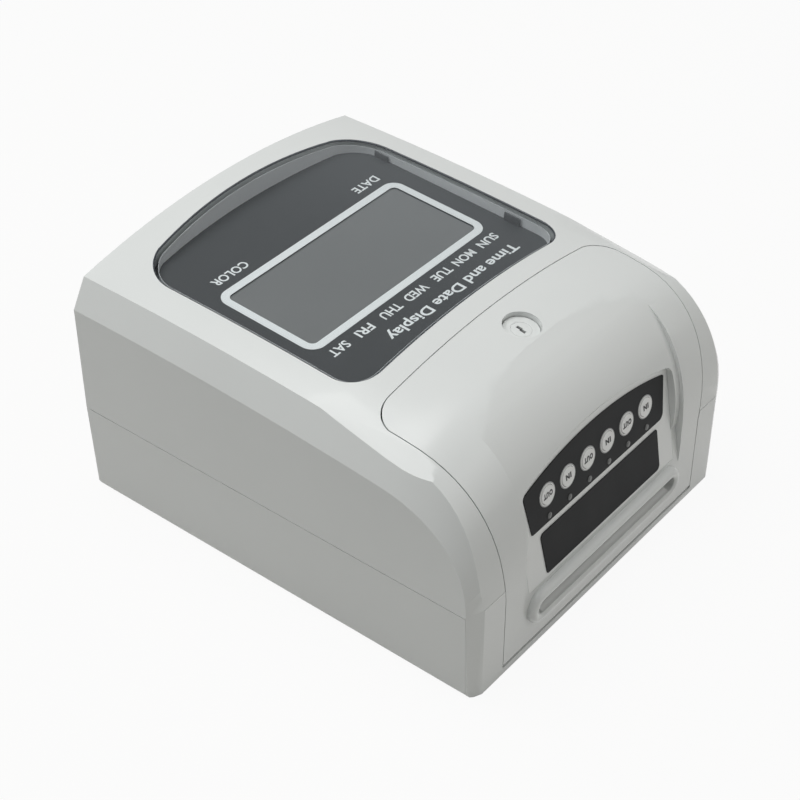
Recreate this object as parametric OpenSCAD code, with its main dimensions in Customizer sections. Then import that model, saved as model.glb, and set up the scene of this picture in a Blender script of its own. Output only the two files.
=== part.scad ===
// Time clock, lying on its back: +Z is the face, -Y the end with the card slot.
// Millimetres. Work is laid out from the slot end (y = 0) and moved to the centre by placed().

/* [Case] */
// Half of the case width at the seam
case_half = 84; // [70:0.5:100]
// Half of the case width on the floor
foot_half = 82.4; // [70:0.2:98]
// Case length from slot end to far end
case_len = 192; // [170:1:230]
// Height of the crown at the far end
case_high = 110; // [95:1:130]
// Height of the seam between the two covers
seam_z = 41.5; // [30:0.5:55]
// Wall of the covers
wall = 2.5; // [2:0.1:3.5]
// Radius of the crown across the width
crown_r = 340; // [250:5:500]
// How far the top drops from the far end to the nose
top_drop = 7; // [3:0.5:12]
// Length of the rounded nose
nose_len = 43; // [30:1:55]

/* [Door] */
// Half of the door width at the slot
door_half = 64.5; // [55:0.5:70]
// Half of the door width at its top edge
door_top_half = 71.6; // [60:0.2:75]
// Where the door's top edge lies
door_edge = 57.5; // [50:0.5:62]
// Radius of the door's top corners
door_corner = 12; // [5:1:20]
// Gap round the door
door_gap = 0.4; // [0.3:0.05:0.8]
// Half of the scoop's width
scoop_half = 52; // [46:0.5:56]
// Half of the key recess's width
recess_half = 48.8; // [46:0.1:50]
// Radius of the roll above the key panel
roll_r = 56.6; // [50:0.2:64]
// Lean of the key panel
panel_lean = 10.2; // [5:0.1:15]
// Height of the hinge axis
hinge_z = 4.8; // [4.6:0.1:8]
// Radius of the hinge barrel
hinge_r = 1.7; // [1.5:0.1:2.5]
// Radius of the hinge pins
hinge_pin_r = 0.8; // [0.7:0.1:1.2]

/* [Keys] */
// Distance between buttons
key_pitch = 12.85; // [11:0.05:15]
// Radius of a button
key_r = 3.8; // [3:0.1:5]
// Travel of a button
key_travel = 1.2; // [0.6:0.1:2]
// Thickness of the key panel
panel_t = 1.6; // [1.2:0.1:2.5]
// Thickness of the printed labels
label_t = 0.4; // [0.3:0.05:0.6]

/* [Card slot] */
// Height of the card plane
card_z = 20; // [18:0.5:24]
// Half of the card mouth
mouth_half = 46; // [44:0.5:50]
// Height of the card mouth
mouth_high = 6.4; // [5:0.2:8]
// How far the rim stands out
rim_out = 3; // [1:0.2:5]

/* [Window] */
// Half of the window width
win_half = 64.8; // [55:0.2:70]
// Near edge of the window
win_near = 67; // [62:0.5:80]
// Far edge of the window at its middle
win_far = 182.6; // [160:0.2:186]
// Height of the printed face at its middle
face_z = 96.5; // [90:0.5:100]
// Rise of the printed face towards the far end
face_tilt = 3.4; // [0:0.1:5]
// Width of the display opening
lcd_w = 100; // [80:1:110]
// Height of the display opening
lcd_h = 43.5; // [35:0.5:50]

/* [Mechanism] */
// Half of the distance between the side plates
plate_half = 54; // [50:0.5:58]
// Thickness of the steel plates
plate_t = 1.2; // [1:0.1:2]
// Radius of the feed rollers
feed_r = 5.6; // [5:0.1:5.8]
// Radius of the pinch rollers
pinch_r = 5; // [4:0.1:6]
// Radius of the roller shafts
shaft_r = 2.5; // [2:0.1:3]
// Radius of the guide rod and lead screw
rod_r = 3; // [2.5:0.1:4]
// Running clearance of turning and sliding pieces
run_gap = 0.05; // [0.02:0.01:0.1]
// Clearance between pieces that pass each other
pass_gap = 0.3; // [0.2:0.05:0.6]

/* [Mounting] */
// Distance between the wall keyholes
keyhole_pitch = 110; // [80:1:130]
// Radius of the keyhole's head hole
keyhole_r = 4.5; // [4:0.1:6]
// Radius of the keyhole's slot
keyhole_slot_r = 2.3; // [2:0.1:3]
// Height of the rubber feet on the far end
foot_h = 2; // [1:0.2:4]

/* [Hidden] */
$fn = 96;
eps = 0.02;
shift_y = -(case_len + foot_h - rim_out) / 2;
axis_low = crown_r - case_high;
nose_n = 2.7;
edge_n = 2.4;
edge_down = 20.7;
corner_in = 3.2;
chamfer_run = 14;
panel_y = 1;
panel_z = 30.4;
panel_top = 78.5;
roll_y = 58.9;
roll_z = 50.7;
arch_v = (panel_top - panel_z) / cos(panel_lean);
arch_r = 162.6;
arch_corner = 4;
chute_end = 11;
chute_t = 1.2;
seam_gap = 0.3;
butt_gap = 0.1;
foot_cut = 2.4;
pocket_z = 28.6;
key_v = 32.4;
led_v = 23.1;
hinge_y = hinge_r;
lock_y = 42.7;
lock_tilt = 7.5;
lock_r = 6;
lock_deep = 2;
lock_lip = 1.1;
cam_len = 19;
cam_low = 18.5;
catch_z = 88.8;
rim_r = 2.4;
rim_run = 43;
rim_half = 5;
face_y = 120;
face_t = 1.5;
board_t = 1.6;
base_z = 9;
base_near = 27;
base_far = 130;
plate_top = 58;
feed_y = 46;
feed_z = card_z - pass_gap - feed_r;
pinch_z = card_z + pass_gap + pinch_r;
motor_y = feed_y + 16;
motor_z = 38;
pulley_r = 5;
feed_pulley_r = 9;
belt_t = 1.2;
belt_x = plate_half + plate_t + 3;
belt_w = 5;
rod_y = 86;
rod_z = 40;
screw_y = 104;
screw_z = 40;
main_z = 62;
main_near = 64;
main_far = 134;
post_x = 47;
screw_r = 1.5;
cover_x = case_half - 11;
cover_y = [14, case_len - 10];
base_y = [base_near + 8, base_far - 8];
board_x = plate_half - 4;
board_gap = 1.5;
bore_x = plate_half + 6;
shaft_x = plate_half + 3.5;
screw_x = plate_half + plate_t + 14.8;
guide_half = 45;
guide_near = 12;
guide_far = 126;
guide_t = 1.2;
lane = 1.2;
guide_low = lane + guide_t;
ribbon_y = 112.5;
ribbon_half = 46;
head_y = rod_y;
bay_y = case_len - 42;
bay_gap = 0.2;
rib_t = 2;
unit_x = 24.2 - case_half;
unit_deep = 34;
cell_x = case_half - 67.8;
cell_long = 45.6;
cell_r = 7.2;
inlet_x = case_half - 34;
inlet_z = 14;
lcd_y = (win_near + win_far) / 2 - 2.8;
board_y = [main_near + 6, main_far - 6];

function top_at(y) = case_high - top_drop * pow(max(0, case_len - 7 - y) / (case_len - 50), 2);

// One side curve: straight end, rounded nose, sloping top. s is its start, d its drop below the top.
function side_curve(s, d, n, far, steps = 14) = concat(
  [[s, -6]],
  [for (i = [0:steps])
    let (a = 90 * i / steps)
    let (y = nose_len - (nose_len - s) * pow(cos(a), 2 / n))
    [y, seam_z + (top_at(y) - d - seam_z) * pow(sin(a), 2 / n)]],
  [for (i = [1:8]) let (y = nose_len + (far - nose_len) * i / 8) [y, top_at(y) - d]],
  [[far, -6]]);

// Moves every point of an open curve inward by t.
function inset(p, t) = [for (i = [0:len(p) - 1])
  let (a = p[max(1, i)] - p[max(1, i) - 1])
  let (b = p[min(len(p) - 2, i) + 1] - p[min(len(p) - 2, i)])
  let (n = [a[1], -a[0]] / norm(a) + [b[1], -b[0]] / norm(b))
  p[i] + 2 * t * n / (n * n)];

module placed() {
  translate([0, shift_y, 0]) children();
}

// Extrudes an XZ outline along Y from y0 to y1.
module along_y(y0, y1) {
  translate([0, y1, 0]) rotate([90, 0, 0]) linear_extrude(y1 - y0) children();
}

// Extrudes a YZ outline along X from x0 to x1.
module along_x(x0, x1) {
  translate([x0, 0, 0]) rotate([90, 0, 90]) linear_extrude(x1 - x0) children();
}

module rod_x(x0, x1, y, z, r) {
  translate([x0, y, z]) rotate([0, 90, 0]) cylinder(r = r, h = x1 - x0);
}

module on_panel() {
  translate([0, panel_y, panel_z]) rotate([90 - panel_lean, 0, 0]) children();
}

module on_lock() {
  translate([0, lock_y, top_at(lock_y) - 0.4]) rotate([lock_tilt, 0, 0]) children();
}

module on_face() {
  translate([0, face_y, face_z]) rotate([face_tilt, 0, 0]) translate([0, -face_y, 0]) children();
}

// Crowned solid: the side curve turned about a long low axis.
module crown_solid(t) {
  p = inset(side_curve(0, 0, nose_n, case_len), t);
  translate([0, 0, -axis_low])
    rotate([-90, 0, 0]) rotate([0, 0, -115])
      rotate_extrude(angle = 50, $fn = 180)
        polygon([for (q = p) [q[1] + axis_low, q[0]]]);
}

// Bounds the sides: upright walls and the long chamfers that run round the nose.
module side_solid(t) {
  low = side_curve(corner_in + t, edge_down + t, edge_n, case_len + 5);
  high = side_curve(t - corner_in, t - 3.3, 2.55, case_len + 5);
  hull() {
    along_x(case_half - t - eps, case_half - t) polygon(low);
    along_x(t - case_half, t - case_half + eps) polygon(low);
    along_x(case_half - t - chamfer_run - eps, case_half - t - chamfer_run) polygon(high);
    along_x(t + chamfer_run - case_half, t + chamfer_run - case_half + eps) polygon(high);
  }
}

// Planes that trim the shoulders beside the door.
module shoulders(t) {
  for (s = [-1, 1])
    translate([s * (case_half - 7.5), 74, top_at(74) - 8.6 - 1.2 * t])
      rotate([7.2, s * 31.6, 0]) translate([-40, -90, 0]) cube([80, 100, 40]);
}

module nose_solid(t) {
  difference() {
    crown_solid(t);
    shoulders(t);
  }
}

module case_solid(t) {
  intersection() {
    nose_solid(t);
    side_solid(t);
  }
}

// Space that the door fills, smaller by g on each side.
module door_space(g) {
  w = door_half - g;
  h = door_top_half - g;
  e = door_edge - g;
  low = hinge_z - hinge_r - pass_gap + g;
  k = (door_top_half - door_half) / 60;
  intersection() {
    along_y(-20, e)
      polygon([[-w, low], [w, low], [w, 38], [w + k * 80, 118], [-w - k * 80, 118], [-w, 38]]);
    translate([0, 0, -1]) linear_extrude(130) {
      translate([-h, -20]) square([2 * h, 20 + e - door_corner]);
      translate([door_corner - h, -20]) square([2 * (h - door_corner), 20 + e]);
      for (s = [-1, 1])
        translate([s * (h - door_corner), e - door_corner]) circle(r = door_corner);
    }
  }
}

// Roll that shapes the middle of the door, smaller by t.
module scoop_roll(t) {
  rod_x(-90, 90, roll_y, roll_z, roll_r - t, $fn = 240);
}

// Outline of the key recess in the panel's plane, smaller by g.
module arch_outline(g, steps = 32) {
  w = recess_half - g;
  q = arch_corner - g;
  r = arch_r - g;
  c = arch_v - arch_r;
  rise = sqrt(pow(r - q, 2) - pow(w - q, 2));
  turn = atan2(rise, w - q);
  polygon(concat([[-w, -40], [w, -40]],
    [for (i = [0:8]) [w - q + q * cos(turn * i / 8), c + rise + q * sin(turn * i / 8)]],
    [for (i = [1:steps - 1]) let (a = turn + (180 - 2 * turn) * i / steps) [r * cos(a), c + r * sin(a)]],
    [for (i = [8:-1:0]) [q - w - q * cos(turn * i / 8), c + rise + q * sin(turn * i / 8)]]));
}

function unit(v) = v / norm(v);

// Outline p with the corner at each point rounded by its own radius.
function rounded(p, radii, steps = 6) = [for (i = [0:len(p) - 1])
  let (a = unit(p[(i + len(p) - 1) % len(p)] - p[i]), b = unit(p[(i + 1) % len(p)] - p[i]))
  let (half = acos(a * b) / 2, c = p[i] + unit(a + b) * radii[i] / sin(half))
  let (from = p[i] + a * radii[i] / tan(half) - c, to = p[i] + b * radii[i] / tan(half) - c)
  let (start = atan2(from[1], from[0]), turn = (atan2(to[1], to[0]) - start + 540) % 360 - 180)
  for (k = [0:steps]) c + radii[i] * [cos(start + turn * k / steps), sin(start + turn * k / steps)]];

// What stays of the door's middle: the roll with the key recess in it, and the leaning panel below.
module scoop_body(t) {
  difference() {
    intersection() {
      scoop_roll(t);
      translate([-90, -20, panel_z + 10]) cube([180, 80, 90]);
    }
    on_panel() translate([0, 0, -t]) linear_extrude(40) arch_outline(-t);
  }
  intersection() {
    on_panel() translate([-80, -60, -80 - t]) cube([160, 180, 80]);
    union() {
      scoop_roll(t);
      translate([-90, -40, -20]) cube([180, 120, roll_z + 20]);
    }
  }
}

// What the scoop takes away from the nose.
module scoop_cut(t) {
  w = scoop_half + t;
  difference() {
    translate([-w, -30, card_z - 2]) cube([2 * w, 72, 90]);
    scoop_body(t);
  }
}

module rear_cover() {
  color([0.80, 0.81, 0.80]) placed() difference() {
    rear_solid();
    difference() {
      translate([0, 0, wall]) rear_inner();
      for (x = [-post_x, post_x], y = base_y)
        translate([x, y, 0]) cylinder(r = 4, h = base_z);
      for (x = [-1, 1], y = cover_y)
        translate([x * cover_x, y, 0]) cylinder(r = 4.5, h = seam_z - 0.2);
      translate([unit_x - bay_gap - rib_t, bay_y, 0]) cube([rib_t, unit_deep, 14]);
      for (x = [cell_x - bay_gap - rib_t, cell_x + cell_long + bay_gap])
        translate([x, bay_y, 0]) cube([rib_t, 24, 10]);
    }
    for (x = [-post_x, post_x], y = base_y)
      translate([x, y, 4]) cylinder(r = screw_r, h = 20);
    for (x = [-1, 1], y = cover_y) {
      translate([x * cover_x, y, -1]) cylinder(r = 1.7, h = seam_z + 5);
      translate([x * cover_x, y, -1]) cylinder(r = 3.2, h = 31);
    }
    for (x = [-keyhole_pitch / 2, keyhole_pitch / 2]) {
      translate([x, 140, -1]) cylinder(r = keyhole_r, h = wall + 2);
      translate([x - keyhole_slot_r, 128, -1]) cube([2 * keyhole_slot_r, 12, wall + 2]);
      translate([x, 128, -1]) cylinder(r = keyhole_slot_r, h = wall + 2);
    }
    translate([inlet_x, case_len - 10, inlet_z]) rotate([-90, 0, 0]) cylinder(r = 5, h = 20);
  }
}

// Lower part of the case as one block up to a given height: leaning sides, facets at the slot end.
module lower_block(top) {
  intersection() {
    along_y(0, case_len)
      polygon([[foot_cut - foot_half, 0], [foot_half - foot_cut, 0],
        [foot_half - 0.29 * foot_cut, 0.29 * foot_cut],
        [foot_half + (case_half - foot_half) * foot_cut / seam_z, foot_cut],
        [case_half, seam_z], [case_half, top + 1], [-case_half, top + 1], [-case_half, seam_z],
        [-foot_half - (case_half - foot_half) * foot_cut / seam_z, foot_cut],
        [0.29 * foot_cut - foot_half, 0.29 * foot_cut]]);
    linear_extrude(top) {
      translate([-case_half, corner_in]) square([2 * case_half, case_len - corner_in]);
      polygon([[-case_half, corner_in + eps], [-case_half + 7, 0], [case_half - 7, 0],
        [case_half, corner_in + eps]]);
    }
  }
}

module rear_solid() {
  difference() {
    lower_block(seam_z - seam_gap / 2);
    translate([-120, -20, -1]) cube([240, 20 + corner_in + butt_gap, 80]);
  }
}

// Hollow of the rear cover, open at the slot end.
module rear_inner() {
  along_y(wall, case_len - wall)
    polygon([[wall - foot_half, 0], [foot_half - wall, 0], [case_half - wall, seam_z + 5],
      [wall - case_half, seam_z + 5]]);
}

module front_cover() {
  color([0.86, 0.87, 0.86]) placed() difference() {
    union() {
      difference() {
        cover_outer();
        difference() {
          case_solid(wall);
          window_well();
          catch_rib();
        }
      }
      cover_bosses();
    }
    door_space(0);
    on_face() translate([0, 0, -face_t]) linear_extrude(40) window_shape(0);
    on_face() translate([0, 0, -20]) linear_extrude(60) window_shape(5);
    rod_x(-door_half, door_half, hinge_y, hinge_z, hinge_r + pass_gap);
    for (s = [-1, 1])
      rod_x(s * 69 - 6, s * 69 + 6, hinge_y, hinge_z, hinge_pin_r);
    for (x = [-1, 1], y = cover_y)
      translate([x * cover_x, y, seam_z - 1]) cylinder(r = screw_r, h = 14);
  }
}

// Outside of the front cover: everything above the seam and the end wall below it.
module cover_outer() {
  intersection() {
    case_solid(0);
    translate([-120, -20, seam_z + seam_gap / 2]) cube([240, 260, 120]);
  }
  intersection() {
    lower_block(seam_z + 1);
    translate([-120, -20, 0]) cube([240, 20 + corner_in, 80]);
  }
}

// Rib under the top that the lock's cam holds.
module catch_rib() {
  translate([-14, door_edge, catch_z]) cube([28, wall, 18]);
}

module cover_bosses() {
  for (x = [-1, 1], y = cover_y)
    translate([x * cover_x, y, seam_z + seam_gap / 2]) cylinder(r = 4, h = 20);
  for (x = [-1, 1], y = cover_y)
    translate([x > 0 ? case_half - 12 : 2 - case_half, y - 1, seam_z + seam_gap / 2]) cube([10, 2, 20]);
  for (s = [-1, 1])
    translate([s * 69.5 - 3.5, wall - eps, wall + pass_gap]) cube([7, 5, hinge_z + hinge_r + 2]);
}

// Collar under the window that holds the lens and the printed face.
module window_well() {
  on_face() translate([0, 0, -7]) linear_extrude(60) window_shape(-2.4);
}

// Window outline, smaller by g: straight sides, bowed far edge, round corners.
module window_shape(g) {
  r = 13;
  intersection() {
    union() {
      translate([g - win_half, win_near + r]) square([2 * (win_half - g), win_far - win_near]);
      translate([r - win_half, win_near + g]) square([2 * (win_half - r), win_far - win_near]);
      for (s = [-1, 1]) translate([s * (win_half - r), win_near + r]) circle(r = r - g);
    }
    union() {
      translate([0, win_far - 290]) circle(r = 290 - g, $fn = 360);
      translate([-80, 0]) square([160, win_far - 40]);
    }
    union() {
      translate([-80, 0]) square([160, win_far - 23.5]);
      translate([20 - win_half, 0]) square([2 * (win_half - 20), win_far + 5]);
      for (s = [-1, 1]) translate([s * (win_half - 20), win_far - 23.5]) circle(r = 20 - g);
    }
  }
}

module door_solid() {
  intersection() {
    difference() {
      nose_solid(0);
      scoop_cut(0);
    }
    door_space(door_gap);
  }
}

// Hollow of the door: skin all over, deeper flanges along its edges.
module door_hollow() {
  intersection() {
    difference() {
      nose_solid(wall);
      scoop_cut(wall);
    }
    union() {
      door_space(door_gap + 2);
      crown_solid(10);
    }
  }
}

// Round rim of the card mouth.
module mouth_rim() {
  for (s = [-1, 1]) {
    rod_x(-rim_run, rim_run, rim_r - rim_out, card_z + s * rim_half, rim_r);
    translate([s * rim_run, rim_r - rim_out, card_z]) rotate([90, 0, 0]) rotate([0, 0, -s * 90])
      rotate_extrude(angle = 180) translate([rim_half, 0]) circle(r = rim_r);
  }
}

module mouth_hole() {
  along_y(-10, chute_end + 1) mouth_outline(mouth_high);
}

module mouth_outline(high) {
  translate([-rim_run, card_z - high / 2]) square([2 * rim_run, high]);
  for (s = [-1, 1]) translate([s * rim_run, card_z]) circle(d = high);
}

module door() {
  color([0.87, 0.88, 0.87]) placed() difference() {
    union() {
      difference() {
        door_solid();
        door_hollow();
        translate([-80, -5, 0]) cube([160, 5 + hinge_y, hinge_z]);
      }
      rod_x(door_gap - door_half, door_half - door_gap, hinge_y, hinge_z, hinge_r);
      mouth_rim();
      on_lock() translate([0, 0, -5]) cylinder(r = 9, h = 4);
    }
    mouth_hole();
    rod_x(-door_half - 1, -56, hinge_y, hinge_z, hinge_pin_r + run_gap);
    rod_x(56, door_half + 1, hinge_y, hinge_z, hinge_pin_r + run_gap);
    on_lock() {
      translate([0, 0, -20]) cylinder(r = lock_r, h = 30);
      translate([0, 0, -lock_deep - lock_lip]) cylinder(r = lock_r + 1.5, h = 10);
    }
    panel_space(0.1, pocket_z, panel_t, 1);
    panel_space(2.6, pocket_z + 6, 12, 1);
  }
}

// Block on the key panel's plane, inside the recess by g: low edge, depth, height.
module panel_space(g, z, deep, high) {
  v = (z - panel_z) / cos(panel_lean);
  on_panel() translate([0, 0, -deep]) linear_extrude(deep + high) intersection() {
    arch_outline(g);
    translate([-80, v]) square([160, 90]);
  }
}

// Pale chute behind the mouth that leads the card to the guide.
module card_chute() {
  color([0.86, 0.87, 0.86]) placed() difference() {
    along_y(wall, chute_end) mouth_outline(mouth_high + 2 * chute_t);
    mouth_hole();
  }
}

module hinge_pins() {
  color([0.70, 0.71, 0.72]) placed() for (s = [-1, 1])
    rod_x(s * 65 - 7, s * 65 + 7, hinge_y, hinge_z, hinge_pin_r);
}

module key_panel() {
  color([0.83, 0.84, 0.83]) placed() {
    difference() {
      panel_space(0.2, pocket_z + 0.1, panel_t, 0);
      key_holes(key_r + 0.2, 1.2);
    }
    on_panel() for (x = [-39.5, 39.5], v = [18.5, 37])
      translate([x, v, -8]) cylinder(r = 2, h = 8 - panel_t + eps);
  }
}

module key_holes(r, light_r) {
  on_panel() for (i = [1:6]) {
    translate([key_x(i), key_v, -9]) cylinder(r = r, h = 14);
    translate([key_x(i), led_v, -9]) cylinder(r = light_r, h = 14);
  }
}

function key_x(i) = (i - 3.5) * key_pitch;

module key_label() {
  color([0.14, 0.14, 0.15]) placed() difference() {
    on_panel() linear_extrude(label_t) intersection() {
      polygon(rounded([[-43.3, 20.9], [43.2, 20.9], [45.8, 39], [45.8, 60], [-45.8, 60], [-45.8, 39]],
        [0.6, 3, 3, 1, 1, 3]));
      arch_outline(3);
    }
    key_holes(key_r + 0.2, 1.2);
  }
}

module blank_label() {
  color([0.12, 0.12, 0.13]) placed() on_panel() linear_extrude(label_t)
    polygon(rounded([[-37.2, -0.1], [38.5, -0.1], [38.8, 18.2], [-38.7, 18.2]], [0.6, 2.2, 0.9, 2]));
}

module key_cap(i) {
  color([0.93, 0.93, 0.92]) placed() on_panel() translate([key_x(i), key_v, -panel_t]) {
    translate([0, 0, -1.1]) cylinder(r = key_r, h = panel_t + 2);
    translate([0, 0, -1.1]) cylinder(r = key_r + 0.9, h = 1);
  }
}

module key_1() {
  key_cap(1);
}

module key_2() {
  key_cap(2);
}

module key_3() {
  key_cap(3);
}

module key_4() {
  key_cap(4);
}

module key_5() {
  key_cap(5);
}

module key_6() {
  key_cap(6);
}

module key_board() {
  color([0.12, 0.36, 0.20]) placed() on_panel()
    translate([-42, 16, -8 - board_t]) cube([84, 24, board_t]);
}

module key_switches() {
  color([0.18, 0.18, 0.19]) placed() on_panel() for (i = [1:6])
    translate([key_x(i), key_v, -8]) {
      translate([-3, -3, 0]) cube([6, 6, 3.2]);
      cylinder(r = 1.7, h = 8 - panel_t - 1.1 - key_travel - pass_gap);
    }
}

module key_lights() {
  color([0.55, 0.56, 0.56]) placed() on_panel() for (i = [1:6]) {
    translate([key_x(i), led_v, -8]) cylinder(r = 1.1, h = 8 + label_t);
    translate([key_x(i), led_v, -8]) cylinder(r = 2, h = 4);
  }
}

module lock_barrel() {
  color([0.80, 0.81, 0.82]) placed() on_lock() difference() {
    union() {
      translate([0, 0, -lock_deep - lock_lip]) cylinder(r = lock_r + 1.2, h = lock_lip);
      translate([0, 0, -cam_low + 2]) cylinder(r = lock_r, h = cam_low - 2 - lock_deep);
    }
    translate([0, 0, -30]) cylinder(r = 4 + run_gap, h = 40);
  }
}

// Turning plug with its keyway, and the cam on its inner end.
module lock_plug() {
  color([0.76, 0.77, 0.78]) placed() on_lock() difference() {
    union() {
      translate([0, 0, -cam_low]) cylinder(r = 4, h = cam_low - lock_deep - 0.1);
      translate([-4, -4, -cam_low]) cube([cam_len + 4, 8, 1.5]);
    }
    translate([-0.9, -2.2, -8]) cube([1.3, 2.4, 10]);
    translate([-0.4, -0.2, -8]) cube([1.3, 2.4, 10]);
  }
}

module lock_nut() {
  color([0.72, 0.72, 0.70]) placed() on_lock() difference() {
    translate([0, 0, -8]) cylinder(r = 9, h = 3, $fn = 6);
    translate([0, 0, -10]) cylinder(r = lock_r, h = 8);
  }
}

module lens() {
  color([0.75, 0.80, 0.84, 0.35]) placed() difference() {
    intersection() {
      crown_solid(0);
      on_face() linear_extrude(40) window_shape(0.15);
    }
    intersection() {
      crown_solid(1.8);
      on_face() translate([0, 0, -1]) linear_extrude(40) window_shape(1.95);
    }
  }
}

module face_panel() {
  color([0.24, 0.25, 0.26]) placed() on_face() translate([0, 0, -face_t]) linear_extrude(face_t)
    difference() {
      window_shape(0.15);
      translate([-lcd_w / 2, lcd_y - lcd_h / 2]) square([lcd_w, lcd_h]);
    }
}

module display() {
  color([0.42, 0.43, 0.43]) placed() on_face() {
    translate([-lcd_w / 2 - 3, lcd_y - lcd_h / 2 - 3, -face_t - 3]) cube([lcd_w + 6, lcd_h + 6, 3]);
    translate([0.1 - lcd_w / 2, lcd_y + 0.1 - lcd_h / 2, -face_t - eps]) cube([lcd_w - 0.2, lcd_h - 0.2, 1]);
  }
}

module display_board() {
  color([0.13, 0.38, 0.22]) placed() on_face()
    translate([-lcd_w / 2 - 6, lcd_y - lcd_h / 2 - 12.25, -face_t - 3 - board_t])
      cube([lcd_w + 12, lcd_h + 24.5, board_t]);
}

module main_board() {
  color([0.12, 0.36, 0.20]) placed() difference() {
    translate([board_gap - plate_half, main_near, main_z])
      cube([2 * (plate_half - board_gap), main_far - main_near, board_t]);
    for (x = [-board_x, board_x], y = board_y)
      translate([x, y, main_z - 1]) cylinder(r = 1.4, h = 5);
  }
}

module board_parts() {
  color([0.17, 0.17, 0.18]) placed() translate([0, main_near, main_z + board_t]) {
    translate([-10, 26, 0]) cube([20, 20, 2.2]);
    translate([-38, 14, 0]) cube([18, 10, 3]);
    translate([20, 52, 0]) cube([24, 8, 7]);
    translate([-40, 52, 0]) cube([30, 6, 9]);
    for (x = [24, 34]) translate([x, 30, 0]) cylinder(r = 4, h = 12);
    translate([-30, 38, 0]) cylinder(r = 8, h = 4);
  }
}

module buzzer() {
  color([0.10, 0.10, 0.11]) placed() translate([30, main_near + 14, main_z + board_t]) difference() {
    cylinder(r = 6, h = 8);
    translate([0, 0, 5]) cylinder(r = 1.2, h = 5);
  }
}

module power_unit() {
  color([0.45, 0.43, 0.40]) placed() translate([unit_x, bay_y, wall]) {
    cube([44, unit_deep, 2]);
    translate([4, 3, 2 - eps]) cube([36, unit_deep - 6, 26]);
    translate([9, 1.5, 6]) cube([26, unit_deep - 3, 18]);
  }
}

module battery() {
  color([0.16, 0.30, 0.52]) placed() for (i = [0, 1])
    rod_x(cell_x, cell_x + cell_long, bay_y + 3.3 + i * (2 * cell_r + 0.1), wall + cell_r, cell_r);
}

module inlet() {
  color([0.10, 0.10, 0.11]) placed() difference() {
    union() {
      translate([inlet_x - 7, case_len - wall - 13.5, inlet_z - 6]) cube([14, 13.5, 12]);
      translate([inlet_x, case_len - wall - 1, inlet_z]) rotate([-90, 0, 0]) cylinder(r = 4.9, h = wall + 1);
    }
    difference() {
      translate([inlet_x, case_len - 11, inlet_z]) rotate([-90, 0, 0]) cylinder(r = 3, h = 20);
      translate([inlet_x, case_len - 12, inlet_z]) rotate([-90, 0, 0]) cylinder(r = 1, h = 11);
    }
  }
}

// Steel frame of the printing mechanism: base, two side plates and tabs for the main board.
module chassis() {
  color([0.66, 0.68, 0.70]) placed() difference() {
    union() {
      translate([-plate_half - plate_t, base_near, base_z])
        cube([2 * (plate_half + plate_t), base_far - base_near, plate_t]);
      for (s = [-1, 1])
        translate([s > 0 ? plate_half : -plate_half - plate_t, base_near, base_z]) side_plate();
      for (x = [-1, 1], y = board_y) {
        translate([x > 0 ? 44 : -plate_half - plate_t, y - 5, plate_top - plate_t])
          cube([plate_half + plate_t - 44, 10, plate_t]);
        translate([x * board_x, y, plate_top - eps]) cylinder(r = 2.8, h = main_z - plate_top + eps);
      }
    }
    for (x = [-26, 26])
      translate([x - 9, feed_y - 8, base_z - 1]) cube([18, 16, 4]);
    for (x = [-post_x, post_x], y = base_y)
      translate([x, y, base_z - 1]) cylinder(r = 1.7, h = 4);
    for (x = [-board_x, board_x], y = board_y)
      translate([x, y, plate_top - 3]) cylinder(r = 1.2, h = 12);
    rod_x(-bore_x, bore_x, feed_y, feed_z, shaft_r + run_gap);
    rod_x(-bore_x, bore_x, feed_y, pinch_z, shaft_r + run_gap);
    rod_x(-bore_x, bore_x, rod_y, rod_z, rod_r);
    rod_x(-bore_x, bore_x, screw_y, screw_z, rod_r + run_gap);
    rod_x(plate_half - 14, bore_x, motor_y, motor_z, 3.5);
  }
}

module side_plate() {
  difference() {
    cube([plate_t, base_far - base_near, plate_top - base_z]);
    translate([-1, -1, 30]) cube([4, 16, 30]);
    translate([-1, 88 - base_near - 10, 8]) cube([4, 26, 14]);
  }
}

// Lower half of the channel that leads the card past the rollers and the print head.
module card_guide() {
  color([0.30, 0.31, 0.33]) placed() difference() {
    union() {
      along_x(-guide_half, guide_half) polygon([[guide_near, card_z - guide_low - 3],
        [base_near, card_z - guide_low], [guide_far, card_z - guide_low], [guide_far, card_z - lane],
        [base_near, card_z - lane], [guide_near, card_z - lane - 3]]);
      for (s = [-1, 1])
        translate([s * (guide_half - 0.75) - 0.75, base_near, card_z - guide_low])
          cube([1.5, guide_far - 3 - base_near, guide_low + lane]);
      for (x = [-40, 40], y = [32, 116])
        translate([x, y, base_z + plate_t]) cylinder(r = 3, h = card_z - 1.8 - base_z - plate_t);
    }
    roller_windows();
  }
}

// Upper half of the channel, lying on the lower half's edges.
module guide_cover() {
  color([0.32, 0.33, 0.35]) placed() difference() {
    along_x(-guide_half, guide_half) polygon([[guide_near, card_z + lane + 3], [base_near, card_z + lane],
      [rod_y - 10, card_z + lane], [rod_y - 10, card_z + guide_low], [base_near, card_z + guide_low],
      [guide_near, card_z + guide_low + 3]]);
    roller_windows();
  }
}

module roller_windows() {
  for (x = [-26, 26])
    translate([x - 9, feed_y - 7, card_z - 6]) cube([18, 14, 12]);
}

module card_sensor() {
  color([0.09, 0.09, 0.10]) placed() translate([-6, feed_y + 12, card_z + guide_low]) {
    cube([12, 8, 5]);
    translate([3, 2, 5 - eps]) cube([6, 4, 3]);
  }
}

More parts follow.
